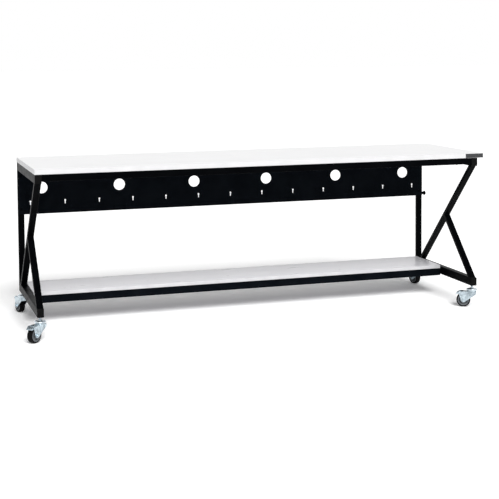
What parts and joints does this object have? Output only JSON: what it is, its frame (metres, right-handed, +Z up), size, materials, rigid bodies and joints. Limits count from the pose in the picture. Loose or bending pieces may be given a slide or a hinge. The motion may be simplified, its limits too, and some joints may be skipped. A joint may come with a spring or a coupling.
{
  "type": "assembly table",
  "caption": "Long mobile assembly table with a light worktop, a black K-braced steel frame, a pierced rear panel, a lower shelf and swivel casters.",
  "frame": {"origin": "floor point under the middle of the frame", "axes": "+X along the length to the right, +Y from the open front to the rear panel, +Z up"},
  "size_m": [2.4942, 0.815, 0.8494],
  "materials": {
    "worktop_laminate": "particle board core under a fine-textured white laminate",
    "worktop_edge": "white plastic edge band",
    "name_plate": "blank dark grey plate, satin",
    "frame_black": "black powder coat, satin",
    "panel_black": "black powder coat, satin, on folded sheet",
    "cap_plastic": "black moulded plastic",
    "shelf_laminate": "light grey laminated board, semi-gloss",
    "shelf_edge": "light grey edge band",
    "zinc_steel": "bright zinc plate",
    "wheel_hub": "dark grey moulded plastic",
    "wheel_tyre": "black rubber"
  },
  "bodies": {
    "bench": {"caster_weld_nuts": "zinc_steel", "front_rail": "frame_black", "front_rail_left_plate": "frame_black", "front_rail_right_plate": "frame_black", "left_bottom_rail": "frame_black", "left_long_brace": "frame_black", "left_rail_end_caps": "cap_plastic", "left_rear_post": "frame_black", "left_shelf_ledge": "panel_black", "left_short_brace": "frame_black", "left_top_rail": "frame_black", "name_plate": "name_plate", "post_peg": "frame_black", "rear_panel": "panel_black", "right_bottom_rail": "frame_black", "right_long_brace": "frame_black", "right_rail_end_caps": "cap_plastic", "right_rear_post": "frame_black", "right_shelf_ledge": "panel_black", "right_short_brace": "frame_black", "right_top_rail": "frame_black", "shelf_apron": "panel_black", "shelf_board": "shelf_laminate", "shelf_edge_band": "shelf_edge", "shelf_rear_beam": "panel_black", "worktop_board": "worktop_laminate", "worktop_edge_band": "worktop_edge", "front_left_caster_stem": "zinc_steel", "front_right_caster_stem": "zinc_steel", "rear_left_caster_stem": "zinc_steel", "rear_right_caster_stem": "zinc_steel"},
    "front_left_swivel": {"front_left_caster_fork": "zinc_steel", "front_left_caster_axle": "zinc_steel"},
    "front_left_wheel": {"front_left_caster_hub": "wheel_hub", "front_left_caster_tyre": "wheel_tyre"},
    "front_left_pedal": {"front_left_caster_brake": "zinc_steel"},
    "front_right_swivel": {"front_right_caster_fork": "zinc_steel", "front_right_caster_axle": "zinc_steel"},
    "front_right_wheel": {"front_right_caster_hub": "wheel_hub", "front_right_caster_tyre": "wheel_tyre"},
    "front_right_pedal": {"front_right_caster_brake": "zinc_steel"},
    "rear_left_swivel": {"rear_left_caster_fork": "zinc_steel", "rear_left_caster_axle": "zinc_steel"},
    "rear_left_wheel": {"rear_left_caster_hub": "wheel_hub", "rear_left_caster_tyre": "wheel_tyre"},
    "rear_left_pedal": {"rear_left_caster_brake": "zinc_steel"},
    "rear_right_swivel": {"rear_right_caster_fork": "zinc_steel", "rear_right_caster_axle": "zinc_steel"},
    "rear_right_wheel": {"rear_right_caster_hub": "wheel_hub", "rear_right_caster_tyre": "wheel_tyre"},
    "rear_right_pedal": {"rear_right_caster_brake": "zinc_steel"}
  },
  "joints": [
    {"name": "front_left_swivel_turn", "type": "hinge", "parent": "bench", "child": "front_left_swivel", "pos_m": [-1.18275, -0.3297, 0.12], "axis": [0, 0, 1], "continuous": true},
    {"name": "front_left_wheel_spin", "type": "hinge", "parent": "front_left_swivel", "child": "front_left_wheel", "pos_m": [-1.21619, -0.35981, 0.0381], "axis": [0.6691, -0.7431, 0], "continuous": true},
    {"name": "front_left_pedal_press", "type": "hinge", "parent": "front_left_swivel", "child": "front_left_pedal", "pos_m": [-1.23105, -0.37319, 0.0801], "axis": [0.6691, -0.7431, 0], "range_deg": [0, 20]},
    {"name": "front_right_swivel_turn", "type": "hinge", "parent": "bench", "child": "front_right_swivel", "pos_m": [1.18275, -0.3297, 0.12], "axis": [0, 0, 1], "continuous": true},
    {"name": "front_right_wheel_spin", "type": "hinge", "parent": "front_right_swivel", "child": "front_right_wheel", "pos_m": [1.14378, -0.3072, 0.0381], "axis": [-0.5, -0.866, 0], "continuous": true},
    {"name": "front_right_pedal_press", "type": "hinge", "parent": "front_right_swivel", "child": "front_right_pedal", "pos_m": [1.12646, -0.2972, 0.0801], "axis": [-0.5, -0.866, 0], "range_deg": [0, 20]},
    {"name": "rear_left_swivel_turn", "type": "hinge", "parent": "bench", "child": "rear_left_swivel", "pos_m": [-1.18275, 0.3297, 0.12], "axis": [0, 0, 1], "continuous": true},
    {"name": "rear_left_wheel_spin", "type": "hinge", "parent": "rear_left_swivel", "child": "rear_left_wheel", "pos_m": [-1.1944, 0.37317, 0.0381], "axis": [-0.9659, -0.2588, 0], "continuous": true},
    {"name": "rear_left_pedal_press", "type": "hinge", "parent": "rear_left_swivel", "child": "rear_left_pedal", "pos_m": [-1.19957, 0.39248, 0.0801], "axis": [-0.9659, -0.2588, 0], "range_deg": [0, 20]},
    {"name": "rear_right_swivel_turn", "type": "hinge", "parent": "bench", "child": "rear_right_swivel", "pos_m": [1.18275, 0.3297, 0.12], "axis": [0, 0, 1], "continuous": true},
    {"name": "rear_right_wheel_spin", "type": "hinge", "parent": "rear_right_swivel", "child": "rear_right_wheel", "pos_m": [1.1711, 0.37317, 0.0381], "axis": [-0.9659, -0.2588, 0], "continuous": true},
    {"name": "rear_right_pedal_press", "type": "hinge", "parent": "rear_right_swivel", "child": "rear_right_pedal", "pos_m": [1.16593, 0.39248, 0.0801], "axis": [-0.9659, -0.2588, 0], "range_deg": [0, 20]}
  ]
}
